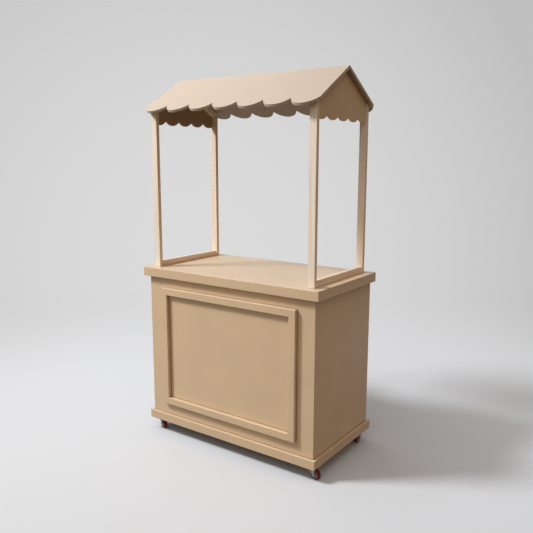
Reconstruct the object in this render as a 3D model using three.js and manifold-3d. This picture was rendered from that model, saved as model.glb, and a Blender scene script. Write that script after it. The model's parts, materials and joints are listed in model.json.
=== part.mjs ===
// Snack cart: a painted cabinet on four swivel casters, with a worktop, four wooden posts
// and a pitched roof with scalloped eaves.
// Millimetres, +Z up. The origin is on the ground under the middle of the cart.
// The customer's side, with the framed panel, faces -Y, and +X is to the customer's right.

import * as THREE from 'three';
import { mergeVertices } from 'three/addons/utils/BufferGeometryUtils.js';
import Module from 'manifold-3d';

const wasm = await Module();
wasm.setup();

// Worktop: a board with strips under its rim, so that its edge looks thick
const worktopWidth = 1000;
const worktopDepth = 530;
const worktopBoardThickness = 18;
const rimStripThickness = 26;
const rimStripWidth = 60;

// Cabinet, open at the back
const cabinetHeight = 742;
const cabinetBoardThickness = 18;
const cabinetSideInset = 26;
const cabinetFrontInset = 22;
const cabinetBackInset = 3;
const shelfHeight = 364;
const shelfSetback = 24;

// Plinth band round the foot of the cabinet
const plinthHeight = 42;
const plinthThickness = 14;

// Picture-frame moulding on the front panel
const mouldingWidth = 34;
const mouldingThickness = 19;
const mouldingSideMargin = 87;
const mouldingTopMargin = 50;
const mouldingBottomMargin = 59;

// Posts and battens of bare pine
const postWidth = 34;
const postThickness = 19;
const postSideInset = 43;
const postEndInset = 38;
const postShoulderHeight = 742;
const battenThickness = 19;
const battenHeight = 28;

// Rafters, cut from the same batten, with a level cut that rests on the post's shoulder
const rafterLevelCut = 7.3;
const rafterBearing = 8.5;
const ridgeBoardThickness = 19;
const ridgeBoardDepth = 34;

// Gable panels between the posts, with a scalloped lower edge
const gableThickness = 9;
const gableRecess = 3;
const gableDrop = 60;
const gableScallopDepth = 22;
const gableScallops = 5;

// Roof: two sheets that meet at the ridge, with scalloped eaves
const roofPitch = THREE.MathUtils.degToRad(31.2);
const roofThickness = 12;
const roofEndOverhang = 19;
const roofEaveOverhang = 49;
const roofScallopDepth = 48;
const roofScallops = 7;

// Casters
const casterHeight = 60;
const casterSideInset = 35;
const casterEndInset = 48;
const casterTrail = 20;
const wheelDiameter = 47;
const wheelWidth = 18;
const tyreThickness = 7;
const tyreShoulder = 3;
const hubRimThickness = 3;
const hubRimInset = 0.8;
const hubWebThickness = 6;
const hubBossDiameter = 13;
const hubBossLength = 21;
const axleDiameter = 6;
const axleHeadThickness = 3.4;
const axleHeadRadius = 5.2;
const axleThreadEnd = 1.5;
const plateWidth = 42;
const plateLength = 60;
const plateCornerRadius = 5;
const plateThickness = 2.5;
const plateHoleMargin = 6.5;
const plateHoleDiameter = 5.5;
const raceDiameter = 34;
const raceDepth = 4;
const forkThickness = 2.4;
const forkCrownDiameter = 36;
const forkSideWidth = 38;
const forkSkirt = 9;
const forkEarRadius = 7.5;
const forkEarStart = THREE.MathUtils.degToRad(225);
const forkEarEnd = THREE.MathUtils.degToRad(374);
const kingpinDiameter = 8;
const kingpinHeadDiameter = 14;
const kingpinHeadThickness = 2.2;

// The way each caster happens to point, in degrees anticlockwise from +X
const casterHeadings = { front_left: -25, front_right: -16, back_left: 24, back_right: -88 };

// Clearances
const seatGap = 0.3;
const runningGap = 0.5;
const boreGap = 0.05;
const cutOverrun = 2;

// Facets of round shapes
const roundSides = 24;
const smallSides = 12;
const scallopSteps = 12;
const cornerSteps = 3;
const hexagon = 6;

// Heights and places that follow from the sizes above
const tanPitch = Math.tan(roofPitch);
const cosPitch = Math.cos(roofPitch);
const cabinetFoot = casterHeight;
const cabinetTop = cabinetFoot + cabinetHeight;
const rimTop = cabinetTop + rimStripThickness;
const worktopTop = rimTop + worktopBoardThickness;
const worktopHalfWidth = worktopWidth / 2;
const worktopHalfDepth = worktopDepth / 2;
const cabinetSide = worktopHalfWidth - cabinetSideInset;
const cabinetFront = -worktopHalfDepth + cabinetFrontInset;
const cabinetBack = worktopHalfDepth - cabinetBackInset;
const insideSide = cabinetSide - cabinetBoardThickness;
const insideFront = cabinetFront + cabinetBoardThickness;
const floorTop = cabinetFoot + cabinetBoardThickness;
const shelfTop = floorTop + shelfHeight;
const shelfUnderside = shelfTop - cabinetBoardThickness;
const plinthTop = cabinetFoot + plinthHeight;
const plinthSide = cabinetSide + plinthThickness;
const plinthFront = cabinetFront - plinthThickness;
const plinthBack = cabinetBack + plinthThickness;
const postOuterX = worktopHalfWidth - postSideInset;
const postInnerX = postOuterX - postWidth;
const postOuterY = worktopHalfDepth - postEndInset;
const postInnerY = postOuterY - postThickness;
const shoulderHeight = worktopTop + postShoulderHeight;
const gableOuterX = postOuterX - gableRecess;
const gableInnerX = gableOuterX - gableThickness;
const rafterOuterX = gableInnerX - seatGap;
const rafterInnerX = rafterOuterX - battenThickness;
const rafterHeight = battenHeight / cosPitch;
const rafterSeat = shoulderHeight + seatGap;
const ceilingAtPost = rafterSeat + rafterHeight - rafterLevelCut + seatGap;
const ceilingAtRidge = ceilingAtPost + postInnerY * tanPitch;
const ridgeHeight = ceilingAtRidge + roofThickness / cosPitch;
const roofHalfLength = postOuterX + roofEndOverhang;
const roofSlopeLength = (postOuterY + roofEaveOverhang) / cosPitch;
const wheelRadius = wheelDiameter / 2;
const hubRadius = wheelRadius - tyreThickness;
const plateUnderside = casterHeight - plateThickness;
const raceUnderside = plateUnderside - raceDepth;
const forkTop = raceUnderside - runningGap;
const forkCrown = forkTop - forkThickness;
const forkInnerY = hubBossLength / 2 + runningGap;
const forkOuterY = forkInnerY + forkThickness;

// The roof's underside over a distance from the ridge line
function ceilingHeight(y) {
  return ceilingAtRidge - Math.abs(y) * tanPitch;
}

// Materials
function finish(color, roughness, metalness = 0) {
  return new THREE.MeshStandardMaterial({ color, roughness, metalness });
}
const paint = finish(0xc9ae8d, 0.55);
const roofPaint = finish(0xe3cfbb, 0.5);
const rawBoard = finish(0xb79a73, 0.8);
const pine = finish(0xe0c6a4, 0.6);
const zinc = finish(0x9aa0a0, 0.35, 0.9);
const hubGrey = finish(0x8d9898, 0.4, 0.3);
const redTyre = finish(0x8c1014, 0.4);
const steel = finish(0xb4b4b0, 0.3, 1);

const cart = new THREE.Group();

function addPiece(name, geometry, material, parent = cart) {
  const mesh = new THREE.Mesh(geometry, material);
  mesh.name = name;
  parent.add(mesh);
  return mesh;
}

// A board given by its lowest and highest values along each axis
function boardGeometry([x0, x1], [y0, y1], [z0, z1]) {
  const geometry = new THREE.BoxGeometry(x1 - x0, y1 - y0, z1 - z0);
  geometry.translate((x0 + x1) / 2, (y0 + y1) / 2, (z0 + z1) / 2);
  return geometry;
}

function addBoard(name, xs, ys, zs, material) {
  return addPiece(name, boardGeometry(xs, ys, zs), material);
}

function extrude(outline, depth, curveSegments = smallSides) {
  const shape = outline instanceof THREE.Shape ? outline : new THREE.Shape(outline);
  return new THREE.ExtrudeGeometry(shape, { depth, bevelEnabled: false, curveSegments });
}

// Turns an extrusion drawn in X and Z, so that its depth runs from frontY towards +Y
function standUp(geometry, frontY, depth) {
  geometry.rotateX(Math.PI / 2);
  geometry.translate(0, frontY + depth, 0);
  return geometry;
}

// Turns an extrusion drawn in Y and Z, so that its depth runs from startX towards +X
function turnSideways(geometry, startX) {
  const drawnToPart = new THREE.Matrix4().makeBasis(
    new THREE.Vector3(0, 1, 0),
    new THREE.Vector3(0, 0, 1),
    new THREE.Vector3(1, 0, 0),
  );
  geometry.applyMatrix4(drawnToPart);
  geometry.translate(startX, 0, 0);
  return geometry;
}

// Joins and cuts of closed meshes
function toSolid(geometry) {
  const bare = geometry.clone();
  bare.deleteAttribute('normal');
  bare.deleteAttribute('uv');
  const merged = mergeVertices(bare);
  return new wasm.Manifold(new wasm.Mesh({
    numProp: 3,
    vertProperties: Float32Array.from(merged.attributes.position.array),
    triVerts: Uint32Array.from(merged.index.array),
  }));
}

function toGeometry(solid) {
  const mesh = solid.getMesh();
  const geometry = new THREE.BufferGeometry();
  geometry.setAttribute('position', new THREE.BufferAttribute(mesh.vertProperties, mesh.numProp));
  geometry.setIndex(new THREE.BufferAttribute(mesh.triVerts, 1));
  geometry.computeVertexNormals();
  return geometry;
}

function join(...geometries) {
  return toGeometry(geometries.map(toSolid).reduce((all, one) => all.add(one)));
}

function cut(geometry, cutters) {
  const whole = toSolid(geometry);
  return toGeometry(cutters.map(toSolid).reduce((left, cutter) => left.subtract(cutter), whole));
}

// An upright round bar between two heights
function uprightBar(x, y, z0, z1, diameter, sides = smallSides) {
  const geometry = new THREE.CylinderGeometry(diameter / 2, diameter / 2, z1 - z0, sides);
  geometry.rotateX(Math.PI / 2);
  geometry.translate(x, y, (z0 + z1) / 2);
  return geometry;
}

// A bar on the axle's line between two places along Y
function crossBar(y0, y1, radius, sides = smallSides) {
  const geometry = new THREE.CylinderGeometry(radius, radius, y1 - y0, sides);
  geometry.translate(casterTrail, (y0 + y1) / 2, wheelRadius);
  return geometry;
}

// Outline points of one bulge of a scalloped edge, from its first cusp to just before its last.
// u runs along the edge and v away from it.
function scallopPoints(uStart, pitch, vCusp, depth) {
  const half = pitch / 2;
  const radius = (half * half + depth * depth) / (2 * depth);
  const points = [];
  for (let step = 0; step < scallopSteps; step += 1) {
    const along = -half + pitch * (step / scallopSteps);
    const bulge = Math.sqrt(radius * radius - along * along) - (radius - depth);
    points.push(new THREE.Vector2(uStart + half + along, vCusp + bulge));
  }
  return points;
}

// Four strips that meet in mitres round a rectangle, as outlines in its plane
function mitredFrame(outer, inner) {
  const [u0, u1, v0, v1] = outer;
  const [a0, a1, b0, b1] = inner;
  const corner = (u, v) => new THREE.Vector2(u, v);
  return {
    bottom: [corner(u0, v0), corner(u1, v0), corner(a1, b0), corner(a0, b0)],
    right: [corner(u1, v0), corner(u1, v1), corner(a1, b1), corner(a1, b0)],
    top: [corner(u1, v1), corner(u0, v1), corner(a0, b1), corner(a1, b1)],
    left: [corner(u0, v1), corner(u0, v0), corner(a0, b0), corner(a0, b1)],
  };
}

const ends = [
  { word: 'front', sign: -1 },
  { word: 'back', sign: 1 },
];
const sides = [
  { word: 'left', sign: -1 },
  { word: 'right', sign: 1 },
];

// The range from one distance to another on the side of the middle that sign gives
function sideRange(sign, from, to) {
  return sign < 0 ? [-to, -from] : [from, to];
}

// Places of the casters' kingpins
const casterPlaces = {};
for (const end of ends) {
  for (const side of sides) {
    casterPlaces[`${end.word}_${side.word}`] = {
      x: side.sign * (plinthSide - casterSideInset),
      y: end.sign < 0 ? plinthFront + casterEndInset : plinthBack - casterEndInset,
    };
  }
}

// Cabinet
function addCabinet() {
  addBoard('front_panel', [-cabinetSide, cabinetSide], [cabinetFront, insideFront],
    [cabinetFoot, cabinetTop], paint);
  for (const side of sides) {
    addBoard(`${side.word}_side_panel`, sideRange(side.sign, insideSide, cabinetSide),
      [insideFront, cabinetBack], [cabinetFoot, cabinetTop], paint);
  }
  addBoard('cabinet_floor', [-insideSide, insideSide], [insideFront, cabinetBack],
    [cabinetFoot, floorTop], rawBoard);
  addBoard('shelf', [-insideSide, insideSide], [insideFront, cabinetBack - shelfSetback],
    [shelfUnderside, shelfTop], rawBoard);
  const cleatHeights = [shelfUnderside - battenHeight, shelfUnderside];
  for (const side of sides) {
    addBoard(`${side.word}_shelf_cleat`, sideRange(side.sign, insideSide - battenThickness, insideSide),
      [insideFront, cabinetBack - shelfSetback], cleatHeights, pine);
  }
  addBoard('front_shelf_cleat', [-insideSide + battenThickness, insideSide - battenThickness],
    [insideFront, insideFront + battenThickness], cleatHeights, pine);
}

function addPlinth() {
  const strips = mitredFrame(
    [-plinthSide, plinthSide, plinthFront, plinthBack],
    [-cabinetSide, cabinetSide, cabinetFront, cabinetBack],
  );
  const words = { bottom: 'front', top: 'back', left: 'left', right: 'right' };
  for (const [edge, word] of Object.entries(words)) {
    const strip = extrude(strips[edge], plinthHeight);
    strip.translate(0, 0, cabinetFoot);
    addPiece(`plinth_${word}`, strip, paint);
  }
}

function addMoulding() {
  const outer = [
    -cabinetSide + mouldingSideMargin,
    cabinetSide - mouldingSideMargin,
    plinthTop + mouldingBottomMargin,
    cabinetTop - mouldingTopMargin,
  ];
  const [u0, u1, v0, v1] = outer;
  const inner = [u0 + mouldingWidth, u1 - mouldingWidth, v0 + mouldingWidth, v1 - mouldingWidth];
  for (const [edge, outline] of Object.entries(mitredFrame(outer, inner))) {
    const strip = extrude(outline, mouldingThickness);
    addPiece(`moulding_${edge}`, standUp(strip, cabinetFront - mouldingThickness, mouldingThickness), paint);
  }
}

// Worktop
function addWorktop() {
  addBoard('worktop_board', [-worktopHalfWidth, worktopHalfWidth],
    [-worktopHalfDepth, worktopHalfDepth], [rimTop, worktopTop], paint);
  const stripInnerX = worktopHalfWidth - rimStripWidth;
  const stripInnerY = worktopHalfDepth - rimStripWidth;
  const ranges = {
    front: [[-worktopHalfWidth, worktopHalfWidth], [-worktopHalfDepth, -stripInnerY]],
    back: [[-worktopHalfWidth, worktopHalfWidth], [stripInnerY, worktopHalfDepth]],
    left: [[-worktopHalfWidth, -stripInnerX], [-stripInnerY, stripInnerY]],
    right: [[stripInnerX, worktopHalfWidth], [-stripInnerY, stripInnerY]],
  };
  for (const [word, [xs, ys]] of Object.entries(ranges)) {
    addBoard(`worktop_rim_${word}`, xs, ys, [cabinetTop, rimTop], paint);
  }
}

// Frame of posts, rails and rafters.
// A post's top is halved: a cheek outside the rafter reaches the roof, and the rafter sits on
// the shoulder beside it.
function postGeometry(side, end) {
  const cheekInnerX = gableInnerX;
  const cheekTopInner = ceilingHeight(postInnerY) - seatGap;
  const cheekTopOuter = ceilingHeight(postOuterY) - seatGap;
  const leg = boardGeometry(sideRange(side.sign, postInnerX, postOuterX),
    sideRange(end.sign, postInnerY, postOuterY), [worktopTop, shoulderHeight]);
  const cheekFoot = shoulderHeight - cutOverrun;
  const cheekOutline = [
    new THREE.Vector2(end.sign * postInnerY, cheekFoot),
    new THREE.Vector2(end.sign * postOuterY, cheekFoot),
    new THREE.Vector2(end.sign * postOuterY, cheekTopOuter),
    new THREE.Vector2(end.sign * postInnerY, cheekTopInner),
  ];
  const [cheekX] = sideRange(side.sign, cheekInnerX, postOuterX);
  const cheek = turnSideways(extrude(cheekOutline, postOuterX - cheekInnerX), cheekX);
  return join(leg, cheek);
}

// A rafter from the ridge board down to the post, plumb at both ends and level on its seat
function rafterGeometry(side, end) {
  const top = (y) => ceilingHeight(y) - seatGap;
  const head = ridgeBoardThickness / 2 + seatGap;
  const tail = postInnerY + rafterBearing;
  const seatStart = (ceilingAtRidge - seatGap - rafterHeight - rafterSeat) / tanPitch;
  const outline = [
    [head, top(head)],
    [head, top(head) - rafterHeight],
    [seatStart, rafterSeat],
    [tail, rafterSeat],
    [tail, top(tail)],
  ].map(([y, z]) => new THREE.Vector2(end.sign * y, z));
  const [startX] = sideRange(side.sign, rafterInnerX, rafterOuterX);
  return turnSideways(extrude(outline, battenThickness), startX);
}

function gableGeometry(side) {
  const pitch = (2 * postOuterY) / gableScallops;
  const tips = shoulderHeight - gableDrop;
  const cusps = -tips - gableScallopDepth;
  const outline = [];
  for (let index = 0; index < gableScallops; index += 1) {
    outline.push(...scallopPoints(-postOuterY + index * pitch, pitch, cusps, gableScallopDepth));
  }
  outline.push(new THREE.Vector2(postOuterY, cusps));
  const lowerEdge = outline.map(({ x, y }) => new THREE.Vector2(x, -y));
  const top = (y) => ceilingHeight(y) - seatGap;
  const blank = new THREE.Shape([
    ...lowerEdge,
    new THREE.Vector2(postOuterY, top(postOuterY)),
    new THREE.Vector2(0, top(0)),
    new THREE.Vector2(-postOuterY, top(postOuterY)),
  ]);
  const [startX] = sideRange(side.sign, gableInnerX, gableOuterX);
  const panel = turnSideways(extrude(blank, gableThickness), startX);
  const trims = ends.map((end) => boardGeometry(
    [startX - cutOverrun, startX + gableThickness + cutOverrun],
    sideRange(end.sign, postInnerY - seatGap, postOuterY + cutOverrun),
    [tips - cutOverrun, ridgeHeight],
  ));
  return cut(panel, trims);
}

function addFrame() {
  for (const side of sides) {
    for (const end of ends) {
      addPiece(`post_${end.word}_${side.word}`, postGeometry(side, end), pine);
      addPiece(`rafter_${end.word}_${side.word}`, rafterGeometry(side, end), pine);
    }
    const railInnerX = postInnerX + (postWidth - battenThickness) / 2;
    addBoard(`rail_${side.word}`, sideRange(side.sign, railInnerX, railInnerX + battenThickness),
      [-postInnerY, postInnerY], [worktopTop, worktopTop + battenHeight], pine);
    addPiece(`gable_${side.word}`, gableGeometry(side), paint);
  }
}

// A board on edge under the ridge, between the gable panels, that the rafters lean on
function addRidgeBoard() {
  const halfThickness = ridgeBoardThickness / 2;
  const top = ceilingHeight(halfThickness) - seatGap;
  addBoard('ridge_board', [-rafterOuterX, rafterOuterX], [-halfThickness, halfThickness],
    [top - ridgeBoardDepth, top], pine);
}

// One roof sheet, drawn flat with its depth down the slope, tilted about the ridge and then cut
// plumb there, where it meets the other sheet
function roofSheetGeometry() {
  const pitch = (2 * roofHalfLength) / roofScallops;
  const cusps = roofSlopeLength - roofScallopDepth;
  const edge = [];
  for (let index = 0; index < roofScallops; index += 1) {
    edge.push(...scallopPoints(-roofHalfLength + index * pitch, pitch, cusps, roofScallopDepth));
  }
  const outline = [
    new THREE.Vector2(-roofHalfLength, 0),
    ...edge,
    new THREE.Vector2(roofHalfLength, cusps),
    new THREE.Vector2(roofHalfLength, 0),
  ];
  const sheet = extrude(outline.map(({ x, y }) => new THREE.Vector2(x, -y)), roofThickness);
  sheet.translate(0, 0, -roofThickness);
  sheet.rotateX(roofPitch);
  const pastRidge = boardGeometry([-roofHalfLength - cutOverrun, roofHalfLength + cutOverrun],
    [-seatGap / 2, roofThickness], [-roofThickness / cosPitch - cutOverrun, roofThickness]);
  return cut(sheet, [pastRidge]);
}

function addRoof() {
  for (const end of ends) {
    const slope = new THREE.Group();
    slope.position.z = ridgeHeight;
    slope.rotation.z = end.sign < 0 ? 0 : Math.PI;
    cart.add(slope);
    addPiece(`roof_sheet_${end.word}`, roofSheetGeometry(), roofPaint, slope);
  }
}

// A rectangle with round corners, wide along X and long along Y
function roundedRectangle(width, length, radius) {
  const x = width / 2 - radius;
  const y = length / 2 - radius;
  const quarter = Math.PI / 2;
  const shape = new THREE.Shape();
  shape.absarc(x, y, radius, 0, quarter);
  shape.absarc(-x, y, radius, quarter, 2 * quarter);
  shape.absarc(-x, -y, radius, 2 * quarter, 3 * quarter);
  shape.absarc(x, -y, radius, 3 * quarter, 4 * quarter);
  return shape;
}

// A caster's pieces are drawn with the kingpin on the Z axis and the wheel behind it towards +X.
// The top plate has the ball race pressed into its underside.
function casterPlateGeometry() {
  const outline = roundedRectangle(plateWidth, plateLength, plateCornerRadius);
  const plate = extrude(outline, plateThickness, cornerSteps);
  plate.translate(0, 0, plateUnderside);
  const race = uprightBar(0, 0, raceUnderside, casterHeight, raceDiameter, roundSides);
  const holeX = plateWidth / 2 - plateHoleMargin;
  const holeY = plateLength / 2 - plateHoleMargin;
  const throughHole = (x, y, diameter) => (
    uprightBar(x, y, raceUnderside - cutOverrun, casterHeight + cutOverrun, diameter));
  const holes = [
    throughHole(-holeX, -holeY, plateHoleDiameter),
    throughHole(-holeX, holeY, plateHoleDiameter),
    throughHole(holeX, -holeY, plateHoleDiameter),
    throughHole(holeX, holeY, plateHoleDiameter),
    throughHole(0, 0, kingpinDiameter + 2 * boreGap),
  ];
  return cut(join(plate, race), holes);
}

// The pin that the plate and the fork are riveted together with
function kingpinGeometry() {
  const headTop = forkCrown - runningGap;
  const headFoot = headTop - kingpinHeadThickness;
  const head = uprightBar(0, 0, headFoot, headTop, kingpinHeadDiameter);
  const shank = uprightBar(0, 0, headFoot, casterHeight - seatGap, kingpinDiameter);
  return join(head, shank);
}

// One side of the fork seen from the side: a skirt under the crown that narrows to a round ear
function forkSideShape() {
  const half = forkSideWidth / 2;
  const shape = new THREE.Shape();
  shape.moveTo(half, forkTop);
  shape.lineTo(-half, forkTop);
  shape.lineTo(-half, forkTop - forkSkirt);
  shape.absarc(casterTrail, wheelRadius, forkEarRadius, forkEarStart, forkEarEnd);
  return shape;
}

function forkGeometry() {
  const crown = uprightBar(0, 0, forkCrown, forkTop, forkCrownDiameter, roundSides);
  const saddle = boardGeometry([-forkSideWidth / 2, forkSideWidth / 2], [-forkOuterY, forkOuterY],
    [forkCrown, forkTop]);
  const forkSides = [-forkOuterY, forkInnerY].map((startY) => (
    standUp(extrude(forkSideShape(), forkThickness), startY, forkThickness)));
  const pinHole = uprightBar(0, 0, forkCrown - cutOverrun, forkTop + cutOverrun,
    kingpinDiameter + 2 * seatGap);
  const axleHole = crossBar(-forkOuterY - cutOverrun, forkOuterY + cutOverrun,
    axleDiameter / 2 + boreGap);
  return cut(join(crown, saddle, ...forkSides), [pinHole, axleHole]);
}

// The axle bolt, with its six-sided head on one side of the fork and its nut on the other
function axleGeometry() {
  const faceY = forkOuterY + boreGap;
  const endY = faceY + axleHeadThickness;
  const shank = crossBar(-endY, endY + axleThreadEnd, axleDiameter / 2);
  const head = crossBar(-endY, -faceY, axleHeadRadius, hexagon);
  const nut = crossBar(faceY, endY, axleHeadRadius, hexagon);
  return join(shank, head, nut);
}

// A ring turned about the axle, from the points of its section as radius and place along the axle
function turnedRing(section) {
  const points = [...section, section[0]].map(([radius, along]) => new THREE.Vector2(radius, along));
  const ring = new THREE.LatheGeometry(points, roundSides);
  ring.translate(casterTrail, 0, wheelRadius);
  return ring;
}

function hubGeometry() {
  const bore = axleDiameter / 2 + boreGap;
  const boss = hubBossDiameter / 2;
  const bossEnd = hubBossLength / 2;
  const web = hubWebThickness / 2;
  const rimInner = hubRadius - hubRimThickness;
  const rimEnd = wheelWidth / 2 - hubRimInset;
  return turnedRing([
    [bore, -bossEnd], [boss, -bossEnd], [boss, -web], [rimInner, -web], [rimInner, -rimEnd],
    [hubRadius, -rimEnd], [hubRadius, rimEnd], [rimInner, rimEnd], [rimInner, web], [boss, web],
    [boss, bossEnd], [bore, bossEnd],
  ]);
}

function tyreGeometry() {
  const inner = hubRadius + seatGap;
  const end = wheelWidth / 2;
  const bevel = tyreShoulder * (1 - Math.SQRT1_2);
  return turnedRing([
    [inner, -end], [wheelRadius - tyreShoulder, -end], [wheelRadius - bevel, bevel - end],
    [wheelRadius, tyreShoulder - end], [wheelRadius, end - tyreShoulder],
    [wheelRadius - bevel, end - bevel], [wheelRadius - tyreShoulder, end], [inner, end],
  ]);
}

function addCaster(word) {
  const { x, y } = casterPlaces[word];
  addPiece(`caster_plate_${word}`, casterPlateGeometry(), zinc).position.set(x, y, 0);
  addPiece(`kingpin_${word}`, kingpinGeometry(), steel).position.set(x, y, 0);
  const swivel = new THREE.Group();
  swivel.position.set(x, y, 0);
  swivel.rotation.z = THREE.MathUtils.degToRad(casterHeadings[word]);
  cart.add(swivel);
  addPiece(`fork_${word}`, forkGeometry(), zinc, swivel);
  addPiece(`axle_${word}`, axleGeometry(), steel, swivel);
  addPiece(`wheel_hub_${word}`, hubGeometry(), hubGrey, swivel);
  addPiece(`tyre_${word}`, tyreGeometry(), redTyre, swivel);
}

addCabinet();
addPlinth();
addMoulding();
addWorktop();
addFrame();
addRidgeBoard();
addRoof();
for (const word of Object.keys(casterPlaces)) addCaster(word);

export default cart;
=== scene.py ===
# %% [markdown]
# # A snack cart in Blender
#
# The real object is a small event cart: a painted box on four casters, a thick worktop, four
# slim pine posts and a pitched roof whose eaves are cut in scallops. The engineering model has
# every board at its real size and place. This script takes that model as a fixed frame and gives
# each board the look of the real one: sanded edges, paint, grain and metal.

# %% Load the frame
import json
import math
from functools import partial
import bmesh
import bpy
from mathutils import Matrix, Vector


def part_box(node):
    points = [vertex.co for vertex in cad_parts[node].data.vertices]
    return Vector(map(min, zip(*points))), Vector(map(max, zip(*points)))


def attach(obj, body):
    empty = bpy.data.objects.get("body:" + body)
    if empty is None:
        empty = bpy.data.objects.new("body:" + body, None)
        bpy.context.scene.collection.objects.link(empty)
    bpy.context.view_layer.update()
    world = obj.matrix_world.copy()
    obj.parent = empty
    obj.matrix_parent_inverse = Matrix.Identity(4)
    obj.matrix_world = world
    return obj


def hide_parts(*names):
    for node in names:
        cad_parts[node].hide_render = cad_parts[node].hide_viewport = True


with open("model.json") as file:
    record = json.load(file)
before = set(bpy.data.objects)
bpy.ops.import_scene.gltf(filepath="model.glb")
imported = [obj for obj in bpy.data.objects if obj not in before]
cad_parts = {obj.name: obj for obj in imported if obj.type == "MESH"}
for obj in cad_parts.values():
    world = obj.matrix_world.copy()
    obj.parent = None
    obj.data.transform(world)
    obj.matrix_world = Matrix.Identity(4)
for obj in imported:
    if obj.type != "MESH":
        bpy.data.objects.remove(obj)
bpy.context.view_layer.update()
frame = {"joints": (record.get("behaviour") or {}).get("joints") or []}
joints = {joint["name"]: joint for joint in frame["joints"]}

# %% [markdown]
# ## Units and places
#
# Blender works in metres, and a joiner thinks in millimetres, so one value turns one into the
# other. Most sizes are read from the corners of the engineering model's nodes. A few can't be
# read from a corner, such as the pitch of the roof, and are named here.

# %% Driving sizes
MM = 0.001
X, Y, Z = 0, 1, 2
QUARTER_TURN = math.pi / 2
ROOF_PITCH = math.radians(31.2)
ROOF_THICKNESS = 12 * MM
SEAT_GAP = 0.3 * MM
ENDS = {"front": -1, "back": 1}
SIDES = {"left": -1, "right": 1}
CORNERS = [(f"{end}_{side}", ENDS[end], SIDES[side]) for end in ENDS for side in SIDES]

roof_low, roof_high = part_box("roof_sheet_front")
APEX = roof_high.z
CEILING = APEX - ROOF_THICKNESS / math.cos(ROOF_PITCH)


def ceiling_height(y):
    """How high a piece can reach under the roof, at a distance from the ridge."""
    return CEILING - abs(y) * math.tan(ROOF_PITCH) - SEAT_GAP


print("apex", round(APEX / MM, 1), "mm, underside at the ridge", round(CEILING / MM, 1), "mm")

# %% [markdown]
# ## Colours and nodes
#
# A colour picker gives sRGB hex values, but a shader mixes light, which is linear. One function
# turns hex to linear, and one small function adds a shader node with its settings and inputs, so
# that each material below reads as a short recipe. An input can be a value, a hex colour, another
# node's socket, or just the other node, which then gives the first output that is switched on.


def linear(hex_colour):
    """Turn an sRGB hex colour into the linear RGBA that a shader socket takes."""
    shares = [int(hex_colour[place:place + 2], 16) / 255 for place in (1, 3, 5)]
    curved = [s / 12.92 if s <= 0.04045 else ((s + 0.055) / 1.055) ** 2.4 for s in shares]
    return (*curved, 1.0)


def connect(node, inputs):
    """Set a node's inputs to values and hex colours, or link them to sockets and nodes."""
    for name, value in inputs.items():
        if isinstance(value, bpy.types.Node):
            value = next(socket for socket in value.outputs if socket.enabled)
        if isinstance(value, bpy.types.NodeSocket):
            node.id_data.links.new(value, node.inputs[name])
        else:
            node.inputs[name].default_value = linear(value) if isinstance(value, str) else value


def add_node(owner, kind, inputs=None, **settings):
    """Add a node of one kind to a material or a world, with its settings and inputs."""
    node = owner.node_tree.nodes.new(f"ShaderNode{kind}")
    for name, value in settings.items():
        setattr(node, name, value)
    connect(node, inputs or {})
    return node


def new_material(name):
    """An empty material. It comes with what adds its nodes, its shader and its Object place."""
    material = bpy.data.materials.new(name)
    material.use_nodes = True
    material.node_tree.nodes.clear()
    add = partial(add_node, material)
    shader = add("BsdfPrincipled")
    add("OutputMaterial", {"Surface": shader})
    return material, add, shader, add("TexCoord").outputs["Object"]


def per_metre(grain):
    """The scale of a noise whose grains are this many millimetres across."""
    return 1 / (grain * MM)


# %% [markdown]
# ## Satin enamel on fibreboard
#
# The cabinet, worktop, gables and roof are fibreboard under a satin, water-based enamel, put on
# with a short-pile roller. The coats differ a little in depth, which the eye reads as faint clouds
# of a yellower and a greyer tone, and the roller leaves a fine stipple that breaks up the sheen.
# Enamel is a dielectric with an IOR of about 1.5. A real stipple is under 1 mm across: here it is
# 8 mm, the finest that still shows at this distance. Seen at a glancing angle, satin enamel looks
# paler and chalky, because its matting grains scatter the light. A little sheen gives that. Under
# the roof the boards get a darker enamel, which is painted shade for the shade that falls there.
#
# Where two boards meet, an ambient occlusion node finds the corner and darkens the paint there
# towards a dark brown. This is painted shade, and it draws every joint.

# %% Enamel
CLOUD_SIZE, SHEEN_PATCH, STIPPLE_SIZE = 190, 60, 8
SHEEN_SPREAD, STIPPLE_HEIGHT = 0.03, 0.08 * MM
CORNER_REACH, PAINTED_SHADE_DEPTH, PAINTED_SHADE_COLOUR = 9 * MM, 0.75, "#4E3826"


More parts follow.
